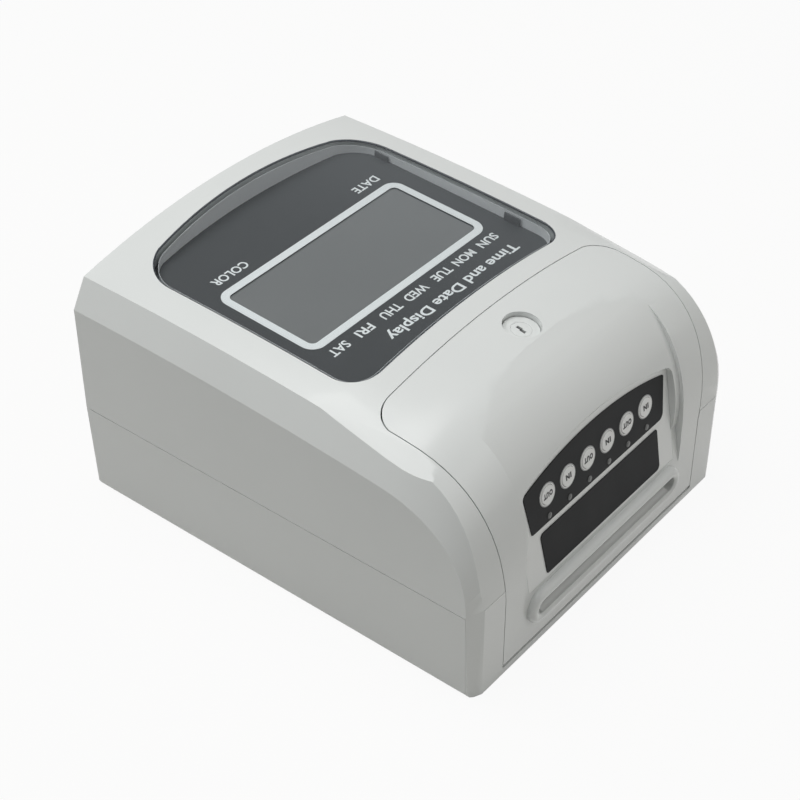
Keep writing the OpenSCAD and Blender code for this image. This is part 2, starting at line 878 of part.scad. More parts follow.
module feed_motor() {
  color([0.60, 0.61, 0.62]) placed() difference() {
    union() {
      rod_x(plate_half - 28, plate_half - eps, motor_y, motor_z, 11);
      rod_x(plate_half - 32, plate_half - 27, motor_y, motor_z, 5);
    }
    rod_x(plate_half - 9, bore_x, motor_y, motor_z, 1.5 + run_gap);
  }
}

module motor_pulley() {
  color([0.85, 0.84, 0.80]) placed() {
    rod_x(plate_half - 8, belt_x + belt_w + 1, motor_y, motor_z, 1.5);
    rod_x(belt_x - 0.8, belt_x + belt_w + 0.8, motor_y, motor_z, pulley_r);
    rod_x(belt_x - 1.3, belt_x - 0.4, motor_y, motor_z, pulley_r + 2);
  }
}

module feed_pulley() {
  color([0.85, 0.84, 0.80]) placed() difference() {
    union() {
      rod_x(belt_x - 0.8, belt_x + belt_w + 0.8, feed_y, feed_z, feed_pulley_r);
      rod_x(belt_x - 1.3, belt_x - 0.4, feed_y, feed_z, feed_pulley_r + 1.6);
    }
    rod_x(belt_x - 8, belt_x + belt_w + 8, feed_y, feed_z, shaft_r);
  }
}

module belt_outline(g) {
  hull() {
    translate([feed_y, feed_z]) circle(r = feed_pulley_r + g);
    translate([motor_y, motor_z]) circle(r = pulley_r + g);
  }
}

module feed_belt() {
  color([0.08, 0.08, 0.09]) placed() along_x(belt_x, belt_x + belt_w) difference() {
    belt_outline(0.1 + belt_t);
    belt_outline(0.1);
  }
}

module feed_shaft() {
  color([0.72, 0.73, 0.74]) placed() rod_x(-shaft_x, belt_x + belt_w + 1.5, feed_y, feed_z, shaft_r);
}

module feed_rollers() {
  color([0.11, 0.11, 0.12]) placed() for (x = [-26, 26]) difference() {
    rod_x(x - 7, x + 7, feed_y, feed_z, feed_r);
    rod_x(x - 9, x + 9, feed_y, feed_z, shaft_r);
  }
}

module pinch_shaft() {
  color([0.72, 0.73, 0.74]) placed() rod_x(-shaft_x, plate_half + plate_t + 1, feed_y, pinch_z, shaft_r);
}

module pinch_rollers() {
  color([0.13, 0.13, 0.14]) placed() for (x = [-26, 26]) difference() {
    rod_x(x - 7, x + 7, feed_y, pinch_z, pinch_r);
    rod_x(x - 9, x + 9, feed_y, pinch_z, shaft_r);
  }
}

module guide_rod() {
  color([0.74, 0.75, 0.76]) placed() rod_x(-plate_half - 2.5, plate_half + 2.5, rod_y, rod_z, rod_r);
}

module carriage() {
  color([0.20, 0.20, 0.22]) placed() difference() {
    union() {
      translate([-14, rod_y - 7, rod_z - 7]) cube([28, 15, 14]);
      translate([-9, rod_y + 7, screw_z - 6]) cube([18, 18, 12]);
    }
    rod_x(-30, 30, rod_y, rod_z, rod_r + run_gap);
    rod_x(-30, 30, screw_y, screw_z, rod_r + pass_gap);
  }
}

module print_head() {
  color([0.08, 0.08, 0.09]) placed() {
    translate([-9, head_y - 6.5, rod_z - 14]) cube([18, 13, 7]);
    translate([-3, head_y - 2.5, card_z + 3.4]) cube([6, 5, 3]);
    for (x = [-8, -4, 0, 4, 8]) translate([x - 0.6, head_y - 8, rod_z - 13]) cube([1.2, 2, 5]);
  }
}

module lead_screw() {
  color([0.70, 0.70, 0.68]) placed() rod_x(-shaft_x, screw_x, screw_y, screw_z, rod_r);
}

module carriage_motor() {
  color([0.58, 0.59, 0.60]) placed() difference() {
    union() {
      rod_x(plate_half + plate_t, plate_half + plate_t + 17, screw_y, screw_z, 12);
      rod_x(plate_half + plate_t + 17 - eps, plate_half + plate_t + 19, screw_y, screw_z, 5);
      translate([plate_half + plate_t, screw_y - 14, screw_z - 4]) cube([1, 28, 8]);
    }
    rod_x(plate_half - 4, screw_x + 0.5, screw_y, screw_z, rod_r + run_gap);
  }
}

// Cassette lying behind the carriage, with two arms that hold the ribbon over the card.
module ribbon_case() {
  color([0.10, 0.10, 0.11]) placed() difference() {
    union() {
      translate([-ribbon_half, ribbon_y, card_z + 3]) cube([2 * ribbon_half, 16, 14]);
      for (s = [-1, 1]) {
        translate([s * guide_half - 3, head_y - 5, card_z + lane]) cube([6, 40, 6.6]);
        translate([s > 0 ? ribbon_half - eps : -plate_half, ribbon_y + 2.5, card_z + 10])
          cube([plate_half - ribbon_half + eps, 5, 3]);
      }
    }
    translate([30, ribbon_y + 8, card_z + 9]) cylinder(r = 2 + run_gap, h = 10);
  }
}

module ribbon() {
  color([0.16, 0.12, 0.30]) placed() translate([3 - guide_half, head_y - 4, card_z + 2.6]) cube([2 * guide_half - 6, 8, 0.4]);
}

module ribbon_knob() {
  color([0.75, 0.74, 0.70]) placed() translate([30, ribbon_y + 8, card_z + 17]) {
    translate([0, 0, -7]) cylinder(r = 2, h = 8);
    difference() {
      translate([0, 0, pass_gap]) cylinder(r = 7, h = 7);
      for (a = [0:30:330]) rotate([0, 0, a]) translate([7.4, 0, 1.5]) cylinder(r = 1, h = 8);
    }
  }
}

module chassis_screws() {
  color([0.68, 0.69, 0.70]) placed() for (x = [-post_x, post_x], y = base_y)
    translate([x, y, base_z + plate_t]) {
      cylinder(r = 3, h = 2);
      translate([0, 0, -6]) cylinder(r = screw_r, h = 6 + eps);
    }
}

module cover_screws() {
  color([0.68, 0.69, 0.70]) placed() for (x = [-1, 1], y = cover_y)
    translate([x * cover_x, y, 0]) {
      translate([0, 0, 27.8]) cylinder(r = 3, h = 2.2);
      translate([0, 0, 30 - eps]) cylinder(r = screw_r, h = seam_z + 11 - 30);
    }
}

module board_screws() {
  color([0.68, 0.69, 0.70]) placed() for (x = [-board_x, board_x], y = board_y)
    translate([x, y, main_z + board_t]) {
      cylinder(r = 2.5, h = 1.6);
      translate([0, 0, -5]) cylinder(r = 1.2, h = 5 + eps);
    }
}

module feet() {
  color([0.13, 0.13, 0.14]) placed() for (s = [-1, 1], z = [14, case_high - 38])
    translate([s * (case_half - 18), case_len, z]) rotate([-90, 0, 0]) cylinder(r = 5, h = foot_h);
}

rear_cover();
front_cover();
door();
card_chute();
hinge_pins();
key_panel();
key_label();
blank_label();
key_1();
key_2();
key_3();
key_4();
key_5();
key_6();
key_board();
key_switches();
key_lights();
lock_barrel();
lock_plug();
lock_nut();
lens();
face_panel();
display();
display_board();
main_board();
board_parts();
buzzer();
power_unit();
battery();
inlet();
chassis();
card_guide();
guide_cover();
card_sensor();
feed_motor();
motor_pulley();
feed_belt();
feed_shaft();
feed_rollers();
feed_pulley();
pinch_shaft();
pinch_rollers();
guide_rod();
carriage();
print_head();
lead_screw();
carriage_motor();
ribbon_case();
ribbon();
ribbon_knob();
chassis_screws();
cover_screws();
board_screws();
feet();
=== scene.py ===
import math
import bmesh
import bpy
from mathutils import Matrix, Vector


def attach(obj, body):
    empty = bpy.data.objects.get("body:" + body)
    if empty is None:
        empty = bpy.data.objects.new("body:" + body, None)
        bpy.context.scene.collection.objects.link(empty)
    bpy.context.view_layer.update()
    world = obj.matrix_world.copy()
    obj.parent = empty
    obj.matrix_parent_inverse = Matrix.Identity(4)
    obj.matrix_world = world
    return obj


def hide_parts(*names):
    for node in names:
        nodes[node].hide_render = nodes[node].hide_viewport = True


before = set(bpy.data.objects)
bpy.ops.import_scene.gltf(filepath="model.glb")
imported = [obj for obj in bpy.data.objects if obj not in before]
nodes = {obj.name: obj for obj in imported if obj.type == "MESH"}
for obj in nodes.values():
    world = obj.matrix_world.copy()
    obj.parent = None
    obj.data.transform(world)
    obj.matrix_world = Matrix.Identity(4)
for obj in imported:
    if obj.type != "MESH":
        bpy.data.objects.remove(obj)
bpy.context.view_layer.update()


class Wire:
    def __init__(self, tree, socket=None):
        self.tree = tree
        self.socket = socket

    def add(self, kind, settings=None, values=None, out=0):  # any node that isn't plain arithmetic
        node = self.tree.nodes.new("ShaderNode" + kind)
        for key, value in (settings or {}).items():
            setattr(node, key, value)
        for key, value in (values or {}).items():
            if isinstance(value, Wire):
                self.tree.links.new(value.socket, node.inputs[key])
            else:
                node.inputs[key].default_value = value
        return Wire(self.tree, node.outputs[out])

    def beside(self, name):  # another output of the node that this wire comes from
        return Wire(self.tree, self.socket.node.outputs[name])

    def sum(self, operation, a, b):
        return self.add("Math", {"operation": operation}, {0: a, 1: b})

    def __add__(self, other):
        return self.sum("ADD", self, other)

    def __sub__(self, other):
        return self.sum("SUBTRACT", self, other)

    def __mul__(self, other):
        return self.sum("MULTIPLY", self, other)

    def __lt__(self, other):
        return self.sum("LESS_THAN", self, other)

    def __rsub__(self, other):
        return self.sum("SUBTRACT", other, self)

    __radd__ = __add__
    __rmul__ = __mul__

    def into(self, node, name):
        self.tree.links.new(self.socket, node.inputs[name])


def newFinish(name):
    finish = bpy.data.materials.new(name)
    finish.use_nodes = True
    shader = finish.node_tree.nodes["Principled BSDF"]
    return finish, Wire(finish.node_tree), shader


def setValues(shader, values):
    for key, value in values.items():
        shader.inputs[key].default_value = value


def place(wire, scale=(1, 1, 1)):  # the spot on the piece, in metres
    spot = wire.add("TexCoord", out=3)
    return wire.add("Mapping", None, {"Vector": spot, "Scale": scale})


def noise(wire, spot, scale, detail, rough=0.5):
    values = {"Vector": spot, "Scale": scale, "Detail": detail, "Roughness": rough}
    return wire.add("TexNoise", None, values)


def stripes(wire, direction, scale):
    return wire.add("TexWave", {"bands_direction": direction}, {"Vector": place(wire), "Scale": scale})


def blendColour(wire, share, first, second):
    values = {0: share, 6: first, 7: second}
    return wire.add("Mix", {"data_type": "RGBA"}, values, 2)


def bump(wire, height, strength, distance, shader):
    values = {"Height": height, "Strength": strength, "Distance": distance}
    wire.add("Bump", None, values).into(shader, "Normal")


# moulded plastics: colour drifts a little, gloss drifts more, a fine skin over all
mouldings = {
    "caseGloss": {"colour": (0.745, 0.762, 0.752), "drift": 0.03, "rough": 0.24, "roughDrift": 0.12,
                  "skin": 520, "skinDepth": 0.035},
    "doorGloss": {"colour": (0.755, 0.772, 0.762), "drift": 0.03, "rough": 0.22, "roughDrift": 0.12,
                  "skin": 560, "skinDepth": 0.035},
    # pale plastic, made lighter than the door's as painted light on the strip that the lamps leave dim
    "panelLitGloss": {"colour": (0.86, 0.875, 0.867), "drift": 0.03, "rough": 0.3, "roughDrift": 0.1,
                   "skin": 900, "skinDepth": 0.05},
    "keyWhite": {"colour": (0.90, 0.905, 0.90), "drift": 0.02, "rough": 0.26, "roughDrift": 0.1,
                 "skin": 1400, "skinDepth": 0.04},
    "lightPipe": {"colour": (0.13, 0.133, 0.132), "drift": 0.08, "rough": 0.2, "roughDrift": 0.1,
                  "skin": 1500, "skinDepth": 0.04},
    "labelFilm": {"colour": (0.009, 0.0095, 0.01), "drift": 0.14, "rough": 0.5, "roughDrift": 0.12,
                  "skin": 2600, "skinDepth": 0.06, "shine": 0.14},
    "facePrint": {"colour": (0.042, 0.044, 0.046), "drift": 0.10, "rough": 0.5, "roughDrift": 0.1,
                  "skin": 2200, "skinDepth": 0.06},
    "ringGrey": {"colour": (0.34, 0.344, 0.348), "drift": 0.05, "rough": 0.4, "roughDrift": 0.1,
                 "skin": 2400, "skinDepth": 0.05},
    "chuteWhite": {"colour": (0.86, 0.87, 0.862), "drift": 0.02, "rough": 0.3, "roughDrift": 0.1,
                   "skin": 700, "skinDepth": 0.04},
    # painted shade: the dark tube along the clear lens's edge
    "rimShade": {"colour": (0.045, 0.05, 0.062), "drift": 0.1, "rough": 0.2, "roughDrift": 0.1,
                 "skin": 900, "skinDepth": 0.03},
    # painted light: the liner inside the lens's clear side walls
    "linerLight": {"colour": (0.93, 0.935, 0.94), "drift": 0.06, "rough": 0.3, "roughDrift": 0.12,
                  "skin": 700, "skinDepth": 0.05},
    "clipGrey": {"colour": (0.075, 0.078, 0.08), "drift": 0.08, "rough": 0.35, "roughDrift": 0.1,
                 "skin": 900, "skinDepth": 0.04},
    "whiteInk": {"colour": (0.86, 0.875, 0.87), "drift": 0.02, "rough": 0.5, "roughDrift": 0.08,
                 "skin": 2400, "skinDepth": 0.05},
    "blackInk": {"colour": (0.03, 0.03, 0.032), "drift": 0.1, "rough": 0.5, "roughDrift": 0.08,
                 "skin": 2400, "skinDepth": 0.05},
    "blackMoulding": {"colour": (0.022, 0.022, 0.024), "drift": 0.15, "rough": 0.45, "roughDrift": 0.14,
                      "skin": 1300, "skinDepth": 0.16},
    "cellWrap": {"colour": (0.03, 0.10, 0.30), "drift": 0.08, "rough": 0.28, "roughDrift": 0.1,
                 "skin": 420, "skinDepth": 0.1},
    "acetal": {"colour": (0.72, 0.69, 0.60), "drift": 0.05, "rough": 0.36, "roughDrift": 0.1,
               "skin": 900, "skinDepth": 0.06},
    "rubber": {"colour": (0.018, 0.018, 0.019), "drift": 0.2, "rough": 0.72, "roughDrift": 0.14,
               "skin": 1800, "skinDepth": 0.3},
}
mouldGrain = {
    "cloud": 16, "cloudDetail": 4, "skinDetail": 2, "skinHeight": 0.0004,
    "smear": (60, 60, 26), "smearDetail": 5, "smearRough": 0.6, "bend": 1.5, "shine": 0.5,
}


def moulding(name, look):
    grain = mouldGrain
    finish, wire, shader = newFinish(name)
    spot = place(wire)
    cloud = noise(wire, spot, grain["cloud"], grain["cloudDetail"])
    skin = noise(wire, spot, look["skin"], grain["skinDetail"])
    pale = [min(1, c * (1 + look["drift"])) for c in look["colour"]] + [1]
    dark = [c * (1 - look["drift"]) for c in look["colour"]] + [1]
    blendColour(wire, cloud, dark, pale).into(shader, "Base Color")
    smear = noise(wire, place(wire, grain["smear"]), 1.0, grain["smearDetail"], grain["smearRough"])
    (look["rough"] + (smear - 0.5) * look["roughDrift"]).into(shader, "Roughness")
    bump(wire, skin, look["skinDepth"], grain["skinHeight"], shader)
    setValues(shader, {"IOR": grain["bend"], "Specular IOR Level": look.get("shine", grain["shine"])})
    return finish


# metals: colour, gloss, and which way the brushing runs
metals = {
    "plateSteel": {"colour": (0.56, 0.57, 0.58), "rough": 0.34, "grain": (30, 900, 30), "depth": 0.06},
    "rodSteel": {"colour": (0.62, 0.63, 0.64), "rough": 0.2, "grain": (1500, 60, 60), "depth": 0.03},
    "screwZinc": {"colour": (0.60, 0.60, 0.58), "rough": 0.3, "grain": (300, 300, 300), "depth": 0.05},
    "lockNickel": {"colour": (0.755, 0.772, 0.762), "rough": 0.6, "grain": (400, 400, 400), "depth": 0.03,
                   "metal": 0.15},  # under a dull coat
    "motorCan": {"colour": (0.50, 0.51, 0.52), "rough": 0.36, "grain": (40, 700, 700), "depth": 0.05},
    "darkSheet": {"colour": (0.36, 0.37, 0.38), "rough": 0.4, "grain": (40, 500, 500), "depth": 0.06},
    "headMetal": {"colour": (0.07, 0.07, 0.075), "rough": 0.4, "grain": (500, 500, 500), "depth": 0.08},
    "coreVarnish": {"colour": (0.20, 0.18, 0.16), "rough": 0.48, "grain": (40, 40, 2400), "depth": 0.4},
}
brushing = {
    "detail": 4, "rough": 0.6, "height": 0.0003, "cloud": 45, "cloudDetail": 3, "dark": 0.86, "pale": 1.08,
    "streakShare": 0.6, "cloudShare": 0.4, "streakGloss": 0.18, "cloudGloss": 0.12,
}


def metal(name, look):
    brush = brushing
    finish, wire, shader = newFinish(name)
    streak = noise(wire, place(wire, look["grain"]), 1.0, brush["detail"], brush["rough"])
    cloud = noise(wire, place(wire), brush["cloud"], brush["cloudDetail"])
    low = [c * brush["dark"] for c in look["colour"]] + [1]
    high = [min(1, c * brush["pale"]) for c in look["colour"]] + [1]
    mixed = streak * brush["streakShare"] + cloud * brush["cloudShare"]
    blendColour(wire, mixed, low, high).into(shader, "Base Color")
    gloss = look["rough"] + (streak - 0.5) * brush["streakGloss"] + (cloud - 0.5) * brush["cloudGloss"]
    gloss.into(shader, "Roughness")
    bump(wire, streak, look["depth"], brush["height"], shader)
    setValues(shader, {"Metallic": look.get("metal", 1.0)})
    return finish


# circuit boards: two greens, rows of tracks, tinned pads
boardLook = {
    "dark": (0.010, 0.075, 0.028, 1), "light": (0.016, 0.11, 0.04, 1), "cloud": 120, "cloudDetail": 2,
    "track": (0.04, 0.20, 0.075, 1), "trackRows": 95, "trackGap": 0.03, "offset": 0.37, "squash": 1.6,
    "trackShare": 0.55, "trackHeight": 0.6, "pad": (0.62, 0.55, 0.36, 1), "padRows": 260, "padDrift": 0.35,
    "padSize": 0.16, "rough": 0.4, "padGloss": 0.12, "cloudGloss": 0.1, "strength": 0.12, "height": 0.0002,
}


def circuitBoard(name, look):
    finish, wire, shader = newFinish(name)
    spot = place(wire)
    rows = {"Vector": place(wire, (1, 1, 0)), "Scale": look["trackRows"], "Mortar Size": look["trackGap"]}
    tracks = wire.add("TexBrick", {"offset": look["offset"], "squash": look["squash"]}, rows, 1)
    dots = {"Vector": spot, "Scale": look["padRows"], "Randomness": look["padDrift"]}
    pad = wire.add("TexVoronoi", None, dots) < look["padSize"]
    cloud = noise(wire, spot, look["cloud"], look["cloudDetail"])
    green = blendColour(wire, cloud, look["dark"], look["light"])
    traced = blendColour(wire, tracks * look["trackShare"], green, look["track"])
    blendColour(wire, pad, traced, look["pad"]).into(shader, "Base Color")
    gloss = look["rough"] - pad * look["padGloss"] + (cloud - 0.5) * look["cloudGloss"]
    gloss.into(shader, "Roughness")
    pad.into(shader, "Metallic")
    bump(wire, tracks * look["trackHeight"] + pad, look["strength"], look["height"], shader)
    return finish


# display: grey glass with fine rows
displayLook = {
    "dark": (0.165, 0.168, 0.167, 1), "light": (0.205, 0.208, 0.206, 1), "cloud": 14, "cloudDetail": 2,
    "rows": 900.0, "cloudShare": 0.85, "rowShare": 0.15, "rough": 0.2, "roughDrift": 0.06,
    "strength": 0.02, "height": 0.0002,
}


def displayGlass(name, look):
    finish, wire, shader = newFinish(name)
    cloud = noise(wire, place(wire, (1, 1, 0)), look["cloud"], look["cloudDetail"])
    rows = stripes(wire, "Y", look["rows"])
    mixed = cloud * look["cloudShare"] + rows * look["rowShare"]
    blendColour(wire, mixed, look["dark"], look["light"]).into(shader, "Base Color")
    (look["rough"] + (cloud - 0.5) * look["roughDrift"]).into(shader, "Roughness")
    bump(wire, cloud, look["strength"], look["height"], shader)
    return finish


# clear moulding: see-through, with a shine that grows where it is seen edge on
lensLook = {
    "colour": (0.30, 0.32, 0.34, 1), "through": (0.975, 0.985, 0.99, 1), "rough": 0.06, "bend": 1.49,
    "shine": 0.5, "skin": 180, "skinDetail": 2, "strength": 0.012, "height": 0.0003, "facing": 0.5,
    "edge": 0.5, "haze": 0.012, "skinHaze": 0.02,
}


def clearMoulding(name, look):
    finish, wire, shader = newFinish(name)
    setValues(shader, {"Base Color": look["colour"], "Roughness": look["rough"]})
    setValues(shader, {"IOR": look["bend"], "Specular IOR Level": look["shine"]})
    skin = noise(wire, place(wire), look["skin"], look["skinDetail"])
    bump(wire, skin, look["strength"], look["height"], shader)
    rim = wire.add("LayerWeight", None, {"Blend": look["facing"]}, 1)
    clear = wire.add("BsdfTransparent", None, {"Color": look["through"]})
    share = rim * rim * rim * look["edge"] + (skin - 0.5) * look["skinHaze"] + look["haze"]
    ready = wire.add("MixShader", None, {0: share, 1: clear, 2: Wire(wire.tree, shader.outputs[0])})
    ready.into(finish.node_tree.nodes["Material Output"], "Surface")
    return finish


# ribbon: inked cloth, worn in streaks
ribbonLook = {
    "dark": (0.010, 0.008, 0.03, 1), "light": (0.03, 0.022, 0.09, 1), "weave": 900.0, "wear": 60,
    "wearGrain": (1, 4, 1), "wearDetail": 3, "wearShare": 0.7, "weaveShare": 0.3, "rough": 0.75,
    "roughDrift": 0.2, "strength": 0.3, "height": 0.0002,
}


def inkedCloth(name, look):
    finish, wire, shader = newFinish(name)
    weave = stripes(wire, "X", look["weave"]) * stripes(wire, "Y", look["weave"])
    wear = noise(wire, place(wire, look["wearGrain"]), look["wear"], look["wearDetail"])
    mixed = wear * look["wearShare"] + weave * look["weaveShare"]
    blendColour(wire, mixed, look["dark"], look["light"]).into(shader, "Base Color")
    (look["rough"] + (wear - 0.5) * look["roughDrift"]).into(shader, "Roughness")
    bump(wire, weave, look["strength"], look["height"], shader)
    return finish


finishes = {name: moulding(name, look) for name, look in mouldings.items()}
finishes.update({name: metal(name, look) for name, look in metals.items()})
finishes["boardGreen"] = circuitBoard("boardGreen", boardLook)
finishes["displayGrey"] = displayGlass("displayGrey", displayLook)
finishes["clearLens"] = clearMoulding("clearLens", lensLook)
finishes["ribbonInk"] = inkedCloth("ribbonInk", ribbonLook)
print("finishes:", len(finishes))

# which solids wear which finish
wearing = {
    "caseGloss": ["rear_cover", "front_cover"],
    "doorGloss": ["door"],
    "chuteWhite": ["card_chute"],
    "panelLitGloss": ["key_panel"],
    "labelFilm": ["key_label", "blank_label"],
    "keyWhite": ["key_1", "key_2", "key_3", "key_4", "key_5", "key_6"],
    "lightPipe": ["key_lights"],
    "lockNickel": ["lock_barrel", "lock_plug", "lock_nut"],
    "clearLens": ["lens"],
    "facePrint": ["face_panel"],
    "displayGrey": ["display"],
    "boardGreen": ["key_board", "display_board", "main_board"],
    "blackMoulding": [
        "key_switches", "board_parts", "buzzer", "inlet", "card_sensor", "carriage", "ribbon_case",
    ],
    "coreVarnish": ["power_unit"],
    "cellWrap": ["battery"],
    "plateSteel": ["chassis"],
    "darkSheet": ["card_guide", "guide_cover"],
    "motorCan": ["feed_motor", "carriage_motor"],
    "acetal": ["motor_pulley", "feed_pulley", "ribbon_knob"],
    "rubber": ["feed_belt", "feed_rollers", "pinch_rollers", "feet"],
    "rodSteel": ["hinge_pins", "feed_shaft", "pinch_shaft", "guide_rod", "lead_screw"],
    "headMetal": ["print_head"],
    "ribbonInk": ["ribbon"],
    "screwZinc": ["chassis_screws", "cover_screws", "board_screws"],
}
weldGap = 2e-6  # loose corners of the solids' triangles that are this close are one


def softShading(angle):  # joins the loose triangles and shades all but the sharp edges smooth
    group = bpy.data.node_groups.new("softShading", "GeometryNodeTree")
    group.interface.new_socket("Geometry", in_out="INPUT", socket_type="NodeSocketGeometry")
    group.interface.new_socket("Geometry", in_out="OUTPUT", socket_type="NodeSocketGeometry")
    make = group.nodes.new
    start = make("NodeGroupInput")
    end = make("NodeGroupOutput")
    join = make("GeometryNodeMergeByDistance")
    join.inputs["Distance"].default_value = weldGap
    plain = make("GeometryNodeRemoveAttribute")
    plain.inputs["Name"].default_value = "custom_normal"
    bend = make("GeometryNodeInputMeshEdgeAngle")
    sharp = make("FunctionNodeCompare")
    sharp.data_type = "FLOAT"
    sharp.operation = "GREATER_THAN"
    sharp.inputs[1].default_value = math.radians(angle)
    smooth = make("GeometryNodeSetShadeSmooth")
    smooth.domain = "FACE"
    crease = make("GeometryNodeSetShadeSmooth")
    crease.domain = "EDGE"
    crease.inputs["Shade Smooth"].default_value = False
    link = group.links.new
    link(start.outputs[0], plain.inputs["Geometry"])
    link(plain.outputs[0], join.inputs["Geometry"])
    link(join.outputs[0], smooth.inputs["Geometry"])
    link(smooth.outputs[0], crease.inputs["Geometry"])
    link(bend.outputs[0], sharp.inputs[0])
    link(sharp.outputs[0], crease.inputs["Selection"])
    link(crease.outputs[0], end.inputs[0])
    return group


# angles in degrees: faces that bend less are one, edges that bend more are rounded or stay sharp
edgeLook = {"flat": 0.3, "rounded": 25, "sharp": 24, "segments": 3}
shading = softShading(edgeLook["sharp"])

# radius in millimetres of the softened edges of moulded and turned solids
softEdges = {
    "front_cover": 0.5, "rear_cover": 0.5, "door": 0.4, "key_panel": 0.3, "lens": 0.3,
    "lock_barrel": 0.2, "lock_plug": 0.15, "inlet": 0.3, "carriage": 0.5, "ribbon_case": 0.6,
    "print_head": 0.3, "ribbon_knob": 0.3, "feed_motor": 0.6, "carriage_motor": 0.6, "buzzer": 0.5,
    "battery": 0.4, "feet": 0.4, "feed_rollers": 0.4, "pinch_rollers": 0.4,
}


def softenEdges(piece, radius):
    weld = piece.modifiers.new("weld", "WELD")
    weld.merge_threshold = weldGap
    flat = piece.modifiers.new("joinFlat", "DECIMATE")
    flat.decimate_type = "DISSOLVE"
    flat.angle_limit = math.radians(edgeLook["flat"])
    edge = piece.modifiers.new("softEdges", "BEVEL")
    edge.width = radius / 1000
    edge.segments = edgeLook["segments"]
    edge.limit_method = "ANGLE"
    edge.angle_limit = math.radians(edgeLook["rounded"])
    edge.miter_outer = "MITER_ARC"


def shadeSoftly(piece):
    piece.modifiers.new("softShading", "NODES").node_group = shading


for name, solids in wearing.items():
    for solid in solids:
        piece = nodes[solid]
        piece.data.materials.clear()
        piece.data.materials.append(finishes[name])
        if solid in softEdges:
            softenEdges(piece, softEdges[solid])
        shadeSoftly(piece)
        if solid in softEdges:  # large flat faces stay flat, the rounded edges take the turn of the light
            weigh = piece.modifiers.new("flatFaces", "WEIGHTED_NORMAL")
            weigh.mode = "FACE_AREA"
            weigh.keep_sharp = True
print("solids dressed")

# the sizes below are millimetres from the slot end, which lies here along Y
slotEnd = -0.0955
fromSlotEnd = Matrix.Translation((0, slotEnd, 0)) @ Matrix.Scale(0.001, 4)
faceSpot = {"y": 120, "z": 96.5, "tilt": 3.4}
panelSpot = {"y": 1, "z": 30.4, "lean": 10.2}
halfTurn = Matrix.Rotation(math.pi, 4, "Z")


def onFace(x, y, height):  # a spot on the printed face, with the reader's right along -X
    tilt = Matrix.Rotation(math.radians(faceSpot["tilt"]), 4, "X")
    base = fromSlotEnd @ Matrix.Translation((0, faceSpot["y"], faceSpot["z"])) @ tilt
    return base @ Matrix.Translation((x, y - faceSpot["y"], height)) @ halfTurn


def onPanel(x, v, height):  # a spot on the leaning key panel, upside down as the words on it are
    lean = Matrix.Rotation(math.radians(90 - panelSpot["lean"]), 4, "X")
    base = fromSlotEnd @ Matrix.Translation((0, panelSpot["y"], panelSpot["z"])) @ lean
    return base @ Matrix.Translation((x, v, height)) @ halfTurn


def putAt(shape, spot):
    bmesh.ops.transform(shape, matrix=spot, verts=shape.verts[:])


def addPiece(name, shape, finish, body, smooth=False):
    bmesh.ops.recalc_face_normals(shape, faces=shape.faces[:])
    for face in shape.faces:
        face.smooth = smooth
    data = bpy.data.meshes.new(name)
    shape.to_mesh(data)
    shape.free()
    data.materials.append(finishes[finish])
    piece = bpy.data.objects.new(name, data)
    bpy.context.scene.collection.objects.link(piece)
    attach(piece, body)
    return piece


def meshOf(curve, gap):  # a curve or text made a mesh, with corners closer than the gap merged
    helper = bpy.data.objects.new(curve.name, curve)
    bpy.context.scene.collection.objects.link(helper)
    bpy.context.view_layer.update()
    shape = bmesh.new()
    shape.from_mesh(helper.evaluated_get(bpy.context.evaluated_depsgraph_get()).to_mesh())
    bpy.data.objects.remove(helper)
    bpy.data.curves.remove(curve)
    bmesh.ops.remove_doubles(shape, verts=shape.verts[:], dist=gap)
    return shape


letterLook = {"weight": 0.02, "spread": 1.0, "extrude": 0.02, "thick": 0.05, "steps": 4, "weld": 1e-5}


def letters(text, size, look):  # a closed mesh of a word, of the given length and capital height
    curve = bpy.data.curves.new(text, "FONT")
    curve.body = text
    curve.offset = look["weight"]
    curve.space_character = look["spread"]
    curve.extrude = look["extrude"]
    curve.resolution_u = look["steps"]
    shape = meshOf(curve, look["weld"])
    left = min(v.co.x for v in shape.verts)
    right = max(v.co.x for v in shape.verts)
    top = max(v.co.y for v in shape.verts)
    bmesh.ops.translate(shape, vec=(-left, 0, 0), verts=shape.verts[:])
    wide, high = size
    stretch = (wide / (right - left), high / top, look["thick"] / (2 * look["extrude"]))
    bmesh.ops.scale(shape, vec=stretch, verts=shape.verts[:])
    return shape


# white line round the display
displayLine = {
    "wide": 107.0, "high": 49.5, "line": 3.4, "corner": 6.0, "steps": 10, "thick": 0.12, "y": 122.0,
}
shape = bmesh.new()
bmesh.ops.create_grid(shape, x_segments=1, y_segments=1, size=0.5)
bmesh.ops.scale(shape, vec=(displayLine["wide"], displayLine["high"], 1), verts=shape.verts[:])
bmesh.ops.bevel(shape, geom=shape.verts[:], offset=displayLine["corner"], segments=displayLine["steps"],
                profile=0.5, affect="VERTICES", material=-1)
middle = shape.faces[:]
bmesh.ops.inset_region(shape, faces=middle, thickness=displayLine["line"], use_boundary=True,
                       use_even_offset=True)
bmesh.ops.delete(shape, geom=middle, context="FACES")
bmesh.ops.solidify(shape, geom=shape.faces[:], thickness=displayLine["thick"])
low = min(v.co.z for v in shape.verts)
bmesh.ops.translate(shape, vec=(0, 0, -low), verts=shape.verts[:])
putAt(shape, onFace(0, displayLine["y"], 0))
addPiece("display_line", shape, "whiteInk", "case")

# dark tube just under the top rim of the clear lens: painted shade for the dark look of the lens's edge
# seen through; sizes in metres
lensRimShade = {
    "radius": 0.00045, "lower": 0.00046, "steps": 2, "weld": 1e-6, "wallSlope": 0.4, "topSlope": 0.8,
}


